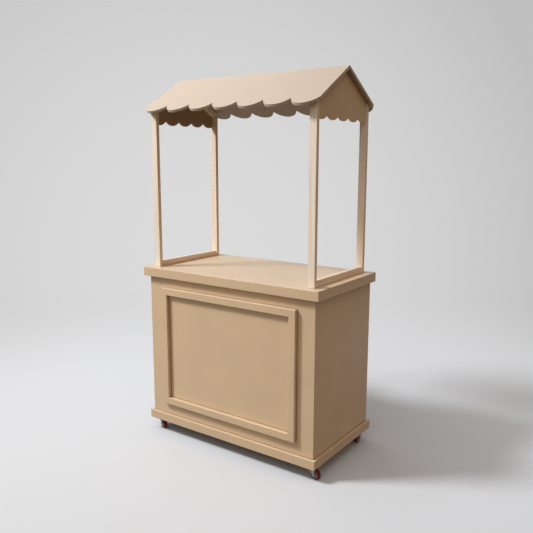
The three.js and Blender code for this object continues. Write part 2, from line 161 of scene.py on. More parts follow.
def satin_enamel(name, colour, cloud, sheen):
    """Rolled satin enamel: two tones that drift into each other, and a stippled sheen."""
    material, add, shader, place = new_material(name)
    drift = add("TexNoise", {"Vector": place, "Scale": per_metre(CLOUD_SIZE), "Detail": 3.0})
    tone = add("Mix", {0: drift, 6: cloud, 7: colour}, data_type="RGBA")
    # Painted shade: ambient occlusion darkens the paint towards a dark brown in corners where
    # boards meet.
    corner = add("AmbientOcclusion", {"Distance": CORNER_REACH}, samples=24)
    corner_shade = add("MapRange", {"Value": corner.outputs["AO"], "From Min": 0.45, "From Max": 0.85,
                            "To Min": PAINTED_SHADE_DEPTH, "To Max": 0.0})
    shaded_tone = add("Mix", {0: corner_shade, 6: tone, 7: PAINTED_SHADE_COLOUR}, data_type="RGBA")
    patches = add("TexNoise", {"Vector": place, "Scale": per_metre(SHEEN_PATCH), "Detail": 3.0})
    gloss = add("MapRange", {"Value": patches, "From Min": 0.3, "From Max": 0.7,
                             "To Min": sheen - SHEEN_SPREAD, "To Max": sheen + SHEEN_SPREAD})
    stipple = add("TexNoise", {"Vector": place, "Scale": per_metre(STIPPLE_SIZE), "Detail": 1.0})
    relief = add("Bump", {"Height": stipple, "Strength": 0.2, "Distance": STIPPLE_HEIGHT})
    connect(shader, {"Base Color": shaded_tone, "Roughness": gloss, "Normal": relief, "IOR": 1.5,
                     "Specular IOR Level": 0.35, "Sheen Weight": 0.3, "Sheen Roughness": 0.45})
    return material


CABINET_ENAMEL = satin_enamel("satin_enamel_beige", "#DDBE94", "#CFAF8E", 0.33)
ROOF_ENAMEL = satin_enamel("satin_enamel_roof", "#BFAA92", "#B5A08B", 0.33)
# Painted shade: a darker enamel for the faces under the roof, where shade falls.
SHADE_PAINTED_ENAMEL = satin_enamel("thin_coat_of_enamel", "#AB8F69", "#A08464", 0.42)
print("enamel clouds", CLOUD_SIZE, "mm across")

# %% [markdown]
# ## Planed pine
#
# The posts, rails and rafters are planed pine battens, left bare. In pine, pale earlywood grades
# into a thin, darker line of latewood each year, so a batten sawn along the trunk shows long
# lines 3 to 5 mm apart that wander slowly. The rings are circles round the trunk's middle, which
# lay far outside the batten. A wave texture in rings gives them, pushed about by a noise that is
# stretched along the grain. A second stretched noise gives the fibres, and a third the broad
# bands of paler and warmer wood that are all the eye sees from a few metres away.
#
# Each batten points its own way, so the first mapping turns the pattern until the grain is along
# the batten.

# %% Pine
GRAIN_STRETCH, WANDER_SIZE, WANDER_REACH = 0.035, 26, 9 * MM
RING_SPACING, RING_UNEVENNESS, LATEWOOD_THINNESS, RING_SHARE = 4.2, 2.4, 2.5, 0.34
BAND_WIDTH, FIBRE_WIDTH, FIBRE_SHARE, FIBRE_HEIGHT = 15, 1.4, 0.16, 0.15 * MM
WAVE_PERIOD = math.pi / 10


def planed_pine(name, turn=(0, 0, 0)):
    """Bare pine whose grain runs along Z once the pattern is turned."""
    material, add, shader, place = new_material(name)
    along = add("Mapping", {"Vector": place, "Rotation": turn})
    grain = add("Mapping", {"Vector": along, "Scale": (1, 1, GRAIN_STRETCH)})
    wander = add("TexNoise", {"Vector": grain, "Scale": per_metre(WANDER_SIZE), "Detail": 2.0})
    pushed = add("VectorMath", {0: wander.outputs["Color"], 1: (WANDER_REACH, WANDER_REACH, 0),
                                2: grain}, operation="MULTIPLY_ADD")
    rings = add("TexWave", {"Vector": pushed, "Scale": WAVE_PERIOD * per_metre(RING_SPACING),
                            "Distortion": RING_UNEVENNESS, "Detail": 2.0},
                wave_type="RINGS", rings_direction="Z", wave_profile="SAW")
    late = add("Math", {0: rings.outputs["Fac"], 1: LATEWOOD_THINNESS}, operation="POWER")
    bands = add("TexNoise", {"Vector": grain, "Scale": per_metre(BAND_WIDTH), "Detail": 2.0})
    band = add("MapRange", {"Value": bands, "From Min": 0.35, "From Max": 0.65})
    pale = add("Mix", {0: band, 6: "#F8E9D7", 7: "#ECD4BA"}, data_type="RGBA")
    ringed = add("Mix", {0: late, 6: pale, 7: "#DDBE9B"}, data_type="RGBA")
    softened = add("Mix", {0: RING_SHARE, 6: pale, 7: ringed}, data_type="RGBA")
    fibre = add("TexNoise", {"Vector": grain, "Scale": per_metre(FIBRE_WIDTH), "Detail": 3.0})
    streak = add("MapRange", {"Value": fibre, "From Min": 0.35, "From Max": 0.75,
                              "To Min": 0.0, "To Max": FIBRE_SHARE})
    wood = add("Mix", {0: streak, 6: softened, 7: "#CFAE89"}, data_type="RGBA")
    relief = add("Bump", {"Height": fibre, "Strength": 0.3, "Distance": FIBRE_HEIGHT})
    connect(shader, {"Base Color": wood, "Normal": relief, "Roughness": 0.6, "IOR": 1.48,
                     "Specular IOR Level": 0.3})
    return material


PINE_UPRIGHT = planed_pine("planed_pine_upright")
PINE_CROSSWISE = planed_pine("planed_pine_crosswise", (QUARTER_TURN, 0, 0))
PINE_LENGTHWISE = planed_pine("planed_pine_lengthwise", (0, -QUARTER_TURN, 0))
UP_THE_SLOPE = QUARTER_TURN - ROOF_PITCH
PINE_SLOPING = {way: planed_pine(f"planed_pine_{end}_slope", (-way * UP_THE_SLOPE, 0, 0))
                for end, way in ENDS.items()}
print("pine rings", RING_SPACING, "mm apart")

# %% [markdown]
# ## Raw fibreboard
#
# The shelf and the floor of the cabinet are bare medium-density fibreboard. It is pressed from
# fine wood fibres, so it is matt, brown and flecked, with no direction. Its flecks are about
# 1 mm across in life and are drawn at 2 mm.

# %% Fibreboard
FLECK_SIZE, BOARD_CLOUD, FLECK_HEIGHT = 2, 90, 0.1 * MM


def raw_fibreboard(name):
    """Pressed wood fibres: matt, with light and dark flecks."""
    material, add, shader, place = new_material(name)
    clouds = add("TexNoise", {"Vector": place, "Scale": per_metre(BOARD_CLOUD), "Detail": 2.0})
    ground = add("Mix", {0: clouds, 6: "#B89770", 7: "#AB8A62"}, data_type="RGBA")
    flecks = add("TexNoise", {"Vector": place, "Scale": per_metre(FLECK_SIZE), "Detail": 4.0,
                              "Roughness": 0.7})
    share = add("MapRange", {"Value": flecks, "From Min": 0.35, "From Max": 0.7,
                             "To Min": 0.0, "To Max": 0.5})
    flecked = add("Mix", {0: share, 6: ground, 7: "#8F6E49"}, data_type="RGBA")
    relief = add("Bump", {"Height": flecks, "Strength": 0.2, "Distance": FLECK_HEIGHT})
    connect(shader, {"Base Color": flecked, "Normal": relief, "Roughness": 0.75})
    return material


RAW_BOARD = raw_fibreboard("raw_fibreboard")
print("flecks", FLECK_SIZE, "mm across")

# %% [markdown]
# ## The metals and plastics of a caster
#
# A light caster is pressed steel with bright zinc plating, which has faint cloudy spangles and
# softened reflections. Its bolts are brighter. The hub is moulded nylon, and the tyre is cast
# polyurethane, dark red and nearly glossy where it hasn't rolled. A metal's colour is its
# reflection, so it is metallic with its colour in the base.

# %% Zinc, steel, nylon and polyurethane
SPOT_SHEEN, SPOT_HEIGHT = 0.06, 0.02 * MM


def mottled(name, light, dark, grain, roughness, metallic=0.0, specular=0.5):
    """A surface with cloudy spots of two tones and a sheen that varies with them."""
    material, add, shader, place = new_material(name)
    spots = add("TexNoise", {"Vector": place, "Scale": per_metre(grain), "Detail": 4.0})
    tone = add("Mix", {0: spots, 6: dark, 7: light}, data_type="RGBA")
    gloss = add("MapRange", {"Value": spots, "From Min": 0.3, "From Max": 0.7,
                             "To Min": roughness + SPOT_SHEEN, "To Max": roughness - SPOT_SHEEN})
    relief = add("Bump", {"Height": spots, "Strength": 0.3, "Distance": SPOT_HEIGHT})
    connect(shader, {"Base Color": tone, "Roughness": gloss, "Normal": relief,
                     "Metallic": metallic, "Specular IOR Level": specular})
    return material


ZINC_PLATE = mottled("zinc_plated_steel", "#9DA0A0", "#808485", 5, 0.42, 1.0)
BRIGHT_STEEL = mottled("bright_steel", "#C2C2BE", "#A6A6A2", 3, 0.3, 1.0)
GREY_NYLON = mottled("moulded_nylon_grey", "#A6B2AE", "#949F9B", 4, 0.42)
RED_TYRE = mottled("cast_polyurethane_red", "#7C0B0D", "#6A090B", 6, 0.38,
                   specular=0.3)
print("materials", len(bpy.data.materials))

# %% [markdown]
# ## Helpers for modelling
#
# An operator acts on whatever is selected, so each step first selects one object alone. In edit
# mode, faces, edges or vertices are picked by a test on their place or direction, as a hand would
# pick them by eye. A saw cut is a bisect that removes one side and closes the cut.

# %% Select, pick and cut
SHARP = math.radians(35)


def select_only(piece):
    """Select one object alone and make it active."""
    bpy.ops.object.select_all(action="DESELECT")
    piece.select_set(True)
    bpy.context.view_layer.objects.active = piece


def settle(piece):
    """Put an object's place, turn and scale into its mesh."""
    select_only(piece)
    bpy.ops.object.transform_apply(location=True, rotation=True, scale=True)


def edit(piece):
    """Go into edit mode on one object, with all of it selected."""
    select_only(piece)
    bpy.ops.object.mode_set(mode="EDIT")
    pick_all()


def leave():
    """Go back to object mode."""
    bpy.ops.object.mode_set(mode="OBJECT")


def middle(element):
    """The middle of an edge or a face."""
    return sum((corner.co for corner in element.verts), Vector()) / len(element.verts)


def pick_all():
    """In edit mode, select everything."""
    bpy.ops.mesh.select_all(action="SELECT")


def pick(piece, kind, test):
    """In edit mode, select only the 'verts', 'edges' or 'faces' that pass a test."""
    bpy.ops.mesh.select_mode(type={"verts": "VERT", "edges": "EDGE", "faces": "FACE"}[kind])
    bpy.ops.mesh.select_all(action="DESELECT")
    mesh = bmesh.from_edit_mesh(piece.data)
    for element in getattr(mesh, kind):
        if test(element):
            element.select_set(True)
    mesh.select_flush_mode()
    bmesh.update_edit_mesh(piece.data)


def near(a, b):
    """Whether two lengths agree to a tenth of a millimetre."""
    return abs(a - b) < 0.1 * MM


def lies_at(axis, reach):
    """A test for edges or faces whose middle is at a place on an axis."""
    return lambda element: near(middle(element)[axis], reach)


def saw(piece, point, normal):
    """Cut off what lies on the side that the normal points to, and close the cut."""
    edit(piece)
    bpy.ops.mesh.bisect(plane_co=point, plane_no=normal, clear_outer=True, use_fill=True)
    leave()


def extrude(move):
    """Extrude what is selected and move it."""
    bpy.ops.mesh.extrude_region_move(TRANSFORM_OT_translate={"value": move})


# %% [markdown]
# A board starts as a cube between two corners. Sanding rounds the edges that a hand can reach,
# and leaves an edge sharp where another board is glued against it, because paint fills that
# joint. So each board is told which of its edges to round. Wide flat faces next to narrow round
# ones shade oddly when they share normals, so the normals are weighted by face area.

# %% Make, round and finish a piece
def add_primitive(operator, name, **settings):
    """Add a primitive, which then alone is selected, and name it."""
    bpy.ops.object.select_all(action="DESELECT")
    operator(**settings)
    piece = bpy.context.active_object
    piece.name = name
    return piece


def add_block(name, low, high):
    """A cuboid between two corners, with its place in its mesh."""
    low, high = Vector(low), Vector(high)
    block = add_primitive(bpy.ops.mesh.primitive_cube_add, name, size=1, location=(low + high) / 2)
    block.scale = high - low
    settle(block)
    return block


def round_edges(piece, radius, test=lambda edge: True, segments=3):
    """Round the sharp edges that pass the test."""
    edit(piece)
    pick(piece, "edges", lambda edge: edge.calc_face_angle(0) > SHARP and test(edge))
    bpy.ops.mesh.bevel(offset=radius, segments=segments, affect="EDGES", clamp_overlap=True)
    leave()


def apply_modifier(piece, kind, **settings):
    """Add a modifier, set it and apply it."""
    select_only(piece)
    bpy.ops.object.modifier_add(type=kind)
    modifier = piece.modifiers[-1]
    for name, value in settings.items():
        setattr(modifier, name, value)
    bpy.ops.object.modifier_apply(modifier=modifier.name)


def finish_piece(piece, material, body="cart", node=None):
    """Shade and paint a piece, and let it ride on a body in the place of a node."""
    select_only(piece)
    bpy.ops.object.shade_smooth_by_angle(angle=SHARP)
    apply_modifier(piece, "WEIGHTED_NORMAL", keep_sharp=True)
    piece.data.materials.clear()
    piece.data.materials.append(material)
    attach(piece, body)
    if node:
        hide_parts(node)


def board(node, material, radius, test=lambda edge: True):
    """Replace a straight board of the frame with one that has sanded edges."""
    piece = add_block(f"{node}_sanded", *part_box(node))
    round_edges(piece, radius, test)
    finish_piece(piece, material, node=node)


# %% [markdown]
# ## The cabinet
#
# The front panel covers the edges of the side panels. Only the outer corner between them is
# sanded: the joint on the side is filled and painted over. The cabinet is open at the back, so
# the rear edges of the side panels, floor and shelf are where hands go, and all are rounded.

# %% Cabinet boards
BOARD_ROUND, RAW_ROUND = 1.2 * MM, 1 * MM
front_low, front_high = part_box("front_panel")
side_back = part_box("right_side_panel")[1].y
shelf_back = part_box("shelf")[1].y
floor_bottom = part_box("cabinet_floor")[0].z

board("front_panel", CABINET_ENAMEL, BOARD_ROUND,
      lambda edge: near(middle(edge).y, front_low.y) and near(abs(middle(edge).x), front_high.x))
for side in SIDES:
    board(f"{side}_side_panel", CABINET_ENAMEL, BOARD_ROUND, lies_at(Y, side_back))
board("cabinet_floor", RAW_BOARD, RAW_ROUND,
      lambda edge: near(middle(edge).y, side_back) and middle(edge).z > floor_bottom)
board("shelf", RAW_BOARD, RAW_ROUND, lies_at(Y, shelf_back))
for side in SIDES:
    board(f"{side}_shelf_cleat", PINE_CROSSWISE, RAW_ROUND)
board("front_shelf_cleat", PINE_LENGTHWISE, RAW_ROUND)
print("cabinet", round((front_high.z - front_low.z) / MM), "mm high")

# %% [markdown]
# ## The worktop
#
# The worktop is one board with strips glued under its rim, so that it looks more than twice as
# thick. The joint is filled, sanded flush and painted. The board is rounded along its upper
# edges, the strips along their lower outer ones, and both at the corners with the same radius, so
# that the corner runs through.

# %% Worktop board and rim strips
WORKTOP_ROUND = 2.4 * MM
top_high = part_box("worktop_board")[1]
rim_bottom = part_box("worktop_rim_front")[0].z


def outer_edge_at(height):
    """A test for the worktop's outer edges at one height, and for its upright corners."""
    def test(edge):
        spot = middle(edge)
        outside = (near(abs(spot.x), top_high.x), near(abs(spot.y), top_high.y))
        return all(outside) or (near(spot.z, height) and any(outside))
    return test


board("worktop_board", CABINET_ENAMEL, WORKTOP_ROUND, outer_edge_at(top_high.z))
for word in (*ENDS, *SIDES):
    board(f"worktop_rim_{word}", CABINET_ENAMEL, WORKTOP_ROUND, outer_edge_at(rim_bottom))
print("worktop edge", round((top_high.z - rim_bottom) / MM), "mm thick")

# %% [markdown]
# ## Plinth and moulding
#
# The plinth and the picture-frame moulding are strips mitred at 45 degrees. Each strip starts as
# a block, its long outward edges are rounded, and two saw cuts make its mitres. The round is made
# before the cuts, so it runs through the joint from strip to strip, and the edges of the mitre
# itself stay sharp, because that joint is glued shut.

# %% Mitred strips
STRIP_ROUND = 2.2 * MM


def mitred_strip(node, axes, outward, test):
    """A strip with a mitre at each end. axes are its long axis and the axis across it, and
    outward is the side of the strip, along the second axis, where it is longest."""
    low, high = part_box(node)
    piece = add_block(f"{node}_mitred", low, high)
    round_edges(piece, STRIP_ROUND, test)
    long_axis, cross_axis = axes
    for end, reach in ((-1, low[long_axis]), (1, high[long_axis])):
        corner = (low + high) / 2
        corner[long_axis] = reach
        corner[cross_axis] = high[cross_axis] if outward > 0 else low[cross_axis]
        normal = Vector((0, 0, 0))
        normal[long_axis] = end
        normal[cross_axis] = -outward
        saw(piece, corner, normal)
    finish_piece(piece, CABINET_ENAMEL, node=node)


moulding_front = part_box("moulding_top")[0].y
for word, axes, outward in (("top", (X, Z), 1), ("bottom", (X, Z), -1),
                            ("left", (Z, X), -1), ("right", (Z, X), 1)):
    mitred_strip(f"moulding_{word}", axes, outward, lies_at(Y, moulding_front))

for word, axes, outward in (("front", (X, Y), -1), ("back", (X, Y), 1),
                            ("left", (Y, X), -1), ("right", (Y, X), 1)):
    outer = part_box(f"plinth_{word}")[1 if outward > 0 else 0][axes[1]]
    mitred_strip(f"plinth_{word}", axes, outward, lies_at(axes[1], outer))

# %% [markdown]
# ## The posts
#
# A post's top is halved. Its outer cheek runs on past the rafter to the roof's underside, and the
# rafter rests on the shoulder beside it. The post starts as a block up to the shoulder. A bisect
# without a cut marks the cheek's inner face on the top, the outer part of the top is extruded up,
# and its outer edge is lowered to the slope of the roof.

# %% Posts
PINE_ROUND = 1.1 * MM
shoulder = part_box("rafter_front_right")[0].z - SEAT_GAP
cheek_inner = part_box("gable_right")[0].x


def post(corner, side):
    """One post with its halved top."""
    node = f"post_{corner}"
    low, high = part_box(node)
    piece = add_block(f"{node}_planed", low, (high.x, high.y, shoulder))
    inner_y, outer_y = sorted((low.y, high.y), key=abs)
    top_inner, top_outer = ceiling_height(inner_y), ceiling_height(outer_y)
    edit(piece)
    bpy.ops.mesh.bisect(plane_co=(side * cheek_inner, 0, 0), plane_no=(1, 0, 0))
    pick(piece, "faces", lambda face: face.normal.z > 0.9 and abs(middle(face).x) > cheek_inner)
    extrude((0, 0, top_inner - shoulder))
    pick(piece, "edges",
         lambda edge: near(middle(edge).z, top_inner) and near(middle(edge).y, outer_y))
    bpy.ops.transform.translate(value=(0, 0, top_outer - top_inner))
    pick_all()
    bpy.ops.mesh.dissolve_limited(angle_limit=math.radians(1))
    leave()
    round_edges(piece, PINE_ROUND)
    finish_piece(piece, PINE_UPRIGHT, node=node)


for corner, _, side in CORNERS:
    post(corner, side)
rail_low, rail_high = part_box("rail_right")
for side in SIDES:
    board(f"rail_{side}", PINE_CROSSWISE, PINE_ROUND,
          lambda edge: not near(abs(middle(edge).y), rail_high.y))
print("shoulder", round(shoulder / MM), "mm up, rails", round(2 * rail_high.y / MM), "mm long")

# %% [markdown]
# ## Rafters and ridge board
#
# A rafter is the same batten as the rails, laid to the slope. Three saw cuts shape it: plumb at
# the ridge board, plumb at its tail, and level where it sits on the post's shoulder.

# %% Rafters
RAFTER_ROUND = 0.9 * MM


def rafter(corner, end):
    """A batten under the roof, from the ridge board to the post."""
    node = f"rafter_{corner}"
    low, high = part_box(node)
    head, tail = sorted((low.y, high.y), key=abs)
    depth = rail_high.z - rail_low.z
    longest = 2 * abs(tail) / math.cos(ROOF_PITCH)
    piece = add_block(f"{node}_planed", (low.x, -longest, -depth), (high.x, longest, 0))
    piece.rotation_euler.x = -end * ROOF_PITCH
    piece.location.z = ceiling_height(0)
    settle(piece)
    saw(piece, (0, head, 0), (0, -end, 0))
    saw(piece, (0, tail, 0), (0, end, 0))
    saw(piece, (0, 0, low.z), (0, 0, -1))
    round_edges(piece, RAFTER_ROUND)
    finish_piece(piece, PINE_SLOPING[end], node=node)


for corner, end, _ in CORNERS:
    rafter(corner, end)
board("ridge_board", PINE_LENGTHWISE, RAW_ROUND)
print("rafters laid at", round(math.degrees(ROOF_PITCH), 1), "degrees")

# %% [markdown]
# ## Scalloped edges
#
# A scallop is part of a circle. One circle is drawn so that it dips below a line by the scallop's
# depth, a bisect keeps only the dip, and an array repeats it. The wire that is left is the board's
# lower edge. Its two ends are then pulled up to make the sides, and the outline is filled and
# given its thickness.

# %% One row of scallops
CIRCLE_POINTS, WELD = 128, 0.05 * MM


def scalloped_wire(name, pitch, depth, count):
    """A wire of scallops along X. Its cusps lie on y = 0 and its tips dip to y = -depth."""
    radius = (pitch * pitch / 4 + depth * depth) / (2 * depth)
    first = -pitch * (count - 1) / 2
    wire = add_primitive(bpy.ops.mesh.primitive_circle_add, name, vertices=CIRCLE_POINTS,
                         radius=radius, location=(first, radius - depth, 0))
    settle(wire)
    edit(wire)
    bpy.ops.mesh.bisect(plane_co=(0, 0, 0), plane_no=(0, 1, 0), clear_outer=True)
    leave()
    apply_modifier(wire, "ARRAY", count=count, use_relative_offset=False,
                   use_constant_offset=True, constant_offset_displace=(pitch, 0, 0))
    edit(wire)
    bpy.ops.mesh.remove_doubles(threshold=WELD)
    leave()
    return wire


def raise_ends(piece, reach, move):
    """In edit mode, pull the wire's two end points away and join them with an edge."""
    pick(piece, "verts", lambda vert: near(abs(vert.co.x), reach))
    bpy.ops.mesh.extrude_vertices_move(TRANSFORM_OT_translate={"value": move})
    bpy.ops.mesh.edge_face_add()


def fill_and_thicken(move):
    """In edit mode, fill the closed outline and give it its thickness."""
    pick_all()
    bpy.ops.mesh.edge_face_add()
    extrude(move)
    pick_all()
    bpy.ops.mesh.normals_make_consistent(inside=False)


def copy_to(master, name, place):
    """A copy with its own mesh, moved by a matrix that goes into the mesh."""
    copy = master.copy()
    copy.data = master.data.copy()
    copy.name = name
    bpy.context.collection.objects.link(copy)
    copy.data.transform(place)
    return copy


def paint_shade_inside(piece, way):
    """Give the faces that look this way the darker enamel that paints the shade under the roof."""
    piece.data.materials.append(SHADE_PAINTED_ENAMEL)
    for face in piece.data.polygons:
        face.material_index = int(face.normal.dot(Vector(way)) > 0.9)


# %% [markdown]
# ## The roof
#
# Each sheet is drawn flat, tilted about the ridge and cut plumb there, so that the two meet in a
# tight joint. The back sheet is the front one turned half round. The pale coat is only on the
# weather side: the faces that look down get a darker enamel, as painted shade under the roof.

# %% Roof sheets
ROOF_SCALLOPS, ROOF_SCALLOP_DEPTH, ROOF_ROUND = 7, 48 * MM, 2.2 * MM
half_length = roof_high.x
slope_length = -roof_low.y / math.cos(ROOF_PITCH)
cusp_distance = slope_length - ROOF_SCALLOP_DEPTH

sheet = scalloped_wire("roof_sheet_front_painted", 2 * half_length / ROOF_SCALLOPS,
                       ROOF_SCALLOP_DEPTH, ROOF_SCALLOPS)
edit(sheet)
raise_ends(sheet, half_length, (0, cusp_distance, 0))
fill_and_thicken((0, 0, -ROOF_THICKNESS))
bpy.ops.transform.translate(value=(0, -cusp_distance, 0))
leave()
sheet.rotation_euler.x = ROOF_PITCH
sheet.location.z = APEX + SEAT_GAP / 2 * math.tan(ROOF_PITCH)
settle(sheet)
saw(sheet, (0, roof_high.y, 0), (0, 1, 0))
round_edges(sheet, ROOF_ROUND, lambda edge: middle(edge).y < roof_high.y - MM)
back_sheet = copy_to(sheet, "roof_sheet_back_painted", Matrix.Rotation(math.pi, 4, "Z"))
for painted, (end, way) in zip((sheet, back_sheet), ENDS.items()):
    finish_piece(painted, ROOF_ENAMEL, node=f"roof_sheet_{end}")
    # Painted shade: the sheet's faces that look down get the darker enamel.
    paint_shade_inside(painted, (0, -way * math.sin(ROOF_PITCH), -math.cos(ROOF_PITCH)))
print("roof slope", round(slope_length / MM), "mm,", len(sheet.data.vertices), "vertices")

# %% [markdown]
# ## The gable panels
#
# A gable panel hangs between two posts. Its scallops are set out from post to post, so the posts
# cut the end ones short. The outline's closing edge is split in the middle and its middle point
# is lifted to the ridge.

# %% Gable panels
GABLE_SCALLOPS, GABLE_SCALLOP_DEPTH, ABOVE_CUSPS = 5, 22 * MM, 8 * MM
post_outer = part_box("post_back_right")[1].y
gable_low, gable_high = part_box("gable_right")
gable_cusp = gable_low.z + GABLE_SCALLOP_DEPTH
gable_side = gable_high.y


def gable(word, side):
    """One gable panel, drawn flat and then stood up between the posts."""
    node = f"gable_{word}"
    low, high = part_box(node)
    panel = scalloped_wire(f"{node}_painted", 2 * post_outer / GABLE_SCALLOPS,
                           GABLE_SCALLOP_DEPTH, GABLE_SCALLOPS)
    for end in (-1, 1):
        saw(panel, (end * gable_side, 0, 0), (end, 0, 0))
    edit(panel)
    cut_height = next(vert.co.y for vert in bmesh.from_edit_mesh(panel.data).verts
                      if near(abs(vert.co.x), gable_side))
    eave = ceiling_height(gable_side) - gable_cusp
    raise_ends(panel, gable_side, (0, eave - cut_height, 0))
    bpy.ops.mesh.subdivide(number_cuts=1)
    pick(panel, "verts", lambda vert: near(vert.co.x, 0) and near(vert.co.y, eave))
    bpy.ops.transform.translate(value=(0, ceiling_height(0) - gable_cusp - eave, 0))
    fill_and_thicken((0, 0, high.x - low.x))
    leave()
    upright = Matrix(((0, 0, 1), (1, 0, 0), (0, 1, 0))).to_4x4()
    panel.data.transform(Matrix.Translation((low.x, 0, gable_cusp)) @ upright)
    round_edges(panel, BOARD_ROUND, lambda edge: middle(edge).z < gable_cusp + ABOVE_CUSPS)
    finish_piece(panel, CABINET_ENAMEL, node=node)
    # Painted shade: the gable's inner face gets the darker enamel.
    paint_shade_inside(panel, (-side, 0, 0))


for word, side in SIDES.items():
    gable(word, side)
print("gable", round((gable_high.z - gable_low.z) / MM), "mm high")

# %% [markdown]
# ## The casters
#
# Each caster has a top plate with a ball race, a fork that swivels under it on a kingpin, and a
# wheel on an axle bolt behind the kingpin. One caster is modelled with its kingpin on the Z axis
# and its wheel towards +X. Copies are then turned to the way that each real one happens to point,
# which the frame's joints tell.

# %% Caster sizes
PLATE = Vector((42, 60, 2.5)) * MM
PLATE_CORNER, PLATE_HOLE_RADIUS = 5 * MM, 2.75 * MM
PLATE_HOLE = Vector((14.5, 23.5)) * MM
CASTER_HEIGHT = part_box("caster_plate_front_right")[1].z
RACE_RADIUS, RACE_DEPTH = 17 * MM, 4 * MM
FORK_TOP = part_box("fork_front_right")[1].z
FORK_THICKNESS, FORK_INNER, EAR_RADIUS = 2.4 * MM, 11 * MM, 7.5 * MM
FORK_CROWN_RADIUS, FORK_HALF_WIDTH, FORK_SKIRT = 18 * MM, 19 * MM, 9 * MM
FORK_OUTER = FORK_INNER + FORK_THICKNESS
TRAIL, WHEEL_RADIUS, TYRE_HALF = 20 * MM, 23.5 * MM, 9 * MM
AXLE_PLACE = (TRAIL, 0, WHEEL_RADIUS)
HUB_RADIUS, HUB_HALF, HUB_RIM, HUB_DISH = 16.5 * MM, 8.2 * MM, 3 * MM, 5.2 * MM
BOSS_RADIUS, BOSS_HALF, BORE_RADIUS = 6.5 * MM, 10.5 * MM, 3.05 * MM
AXLE_RADIUS, BOLT_HEAD_RADIUS, BOLT_HEAD, BOLT_TIP = 3 * MM, 5.2 * MM, 3.4 * MM, 1.5 * MM
KINGPIN_RADIUS, KINGPIN_HEAD_RADIUS, KINGPIN_HEAD = 4 * MM, 7 * MM, 2.2 * MM
RUNNING_GAP, BORE_GAP = 0.5 * MM, 0.05 * MM
PRESSED_ROUND, RACE_ROUND, DOME_ROUND = 0.4 * MM, 1.5 * MM, 1.3 * MM
METAL_ROUND, HUB_ROUND, TYRE_SHOULDER = 0.5 * MM, 0.6 * MM, 3.6 * MM
ROUND, COARSE_ROUND, TYRE_STEPS = 64, 32, 72


def add_bar(name, radius, low, high, axis=Z, at=(0, 0, 0), vertices=ROUND):
    """A round or many-sided bar along Z or Y, between two places on its axis."""
    centre = Vector(at)
    centre[axis] = (low + high) / 2
    bar = add_primitive(bpy.ops.mesh.primitive_cylinder_add, name, vertices=vertices,
                        radius=radius, depth=high - low, location=centre,
                        rotation=(0 if axis == Z else QUARTER_TURN, 0, 0))
    settle(bar)
    return bar


def combine(piece, other, operation):
    """Join another solid to a piece, or cut it away."""
    apply_modifier(piece, "BOOLEAN", object=other, operation=operation, solver="EXACT")
    bpy.data.objects.remove(other)


def drill(piece, *sizes, **settings):
    """Cut a round hole, the size and place of a bar, through a piece."""
    combine(piece, add_bar("hole", *sizes, **settings), "DIFFERENCE")


# %% [markdown]
# The plate is a rounded rectangle of pressed steel with four screw holes, and the race that holds
# the balls is pressed into its underside.

# %% Top plate and kingpin
def caster_plate():
    """The top plate with its race, drawn under the cabinet floor."""
    low = Vector((-PLATE.x / 2, -PLATE.y / 2, CASTER_HEIGHT - PLATE.z))
    plate = add_block("caster_plate", low, low + PLATE)
    round_edges(plate, PLATE_CORNER, lies_at(Z, low.z + PLATE.z / 2), 8)
    race = add_bar("race", RACE_RADIUS, low.z - RACE_DEPTH, CASTER_HEIGHT - PLATE.z / 2)
    round_edges(race, RACE_ROUND, lies_at(Z, low.z - RACE_DEPTH), 4)
    combine(plate, race, "UNION")
    for x in (-PLATE_HOLE.x, PLATE_HOLE.x):
        for y in (-PLATE_HOLE.y, PLATE_HOLE.y):
            drill(plate, PLATE_HOLE_RADIUS, low.z - MM, CASTER_HEIGHT + MM, at=(x, y, 0),
                  vertices=COARSE_ROUND)
    drill(plate, KINGPIN_RADIUS + BORE_GAP, low.z - RACE_DEPTH - MM, CASTER_HEIGHT + MM)
    round_edges(plate, PRESSED_ROUND, lies_at(Z, low.z), 2)
    return plate


def kingpin():
    """The rivet that the fork swivels on, with a domed head."""
    head_top = FORK_TOP - FORK_THICKNESS - RUNNING_GAP
    head_bottom = head_top - KINGPIN_HEAD
    pin = add_bar("kingpin", KINGPIN_HEAD_RADIUS, head_bottom, head_top)
    round_edges(pin, DOME_ROUND, lies_at(Z, head_bottom), 5)
    shank = add_bar("shank", KINGPIN_RADIUS, head_top - KINGPIN_HEAD / 2, CASTER_HEIGHT - SEAT_GAP)
    combine(pin, shank, "UNION")
    return pin


# %% [markdown]
# The fork is one pressing: a round crown, and two sides that narrow to an ear round the axle. The
# outline of a side is the hull of the ear's circle and the two ends of the skirt under the crown,
# so a bar and two small blocks are laid down and the hull operator wraps them.

# %% Fork
def fork_side(y):
    """One side of the fork, wrapped round its ear and skirt."""
    side = add_bar("fork_side", EAR_RADIUS, y, y + FORK_THICKNESS, axis=Y, at=AXLE_PLACE)
    skirts = [add_block("skirt", (x, y, FORK_TOP - drop), (x + MM, y + FORK_THICKNESS, FORK_TOP))
              for x, drop in ((-FORK_HALF_WIDTH, FORK_SKIRT), (FORK_HALF_WIDTH - MM, MM))]
    select_only(side)
    for skirt in skirts:
        skirt.select_set(True)
    bpy.ops.object.join()
    edit(side)
    bpy.ops.mesh.convex_hull()
    leave()
    return side


def outer_corner(edge):
    """Whether an edge is sharp and points outwards."""
    return edge.calc_face_angle_signed(0) > SHARP


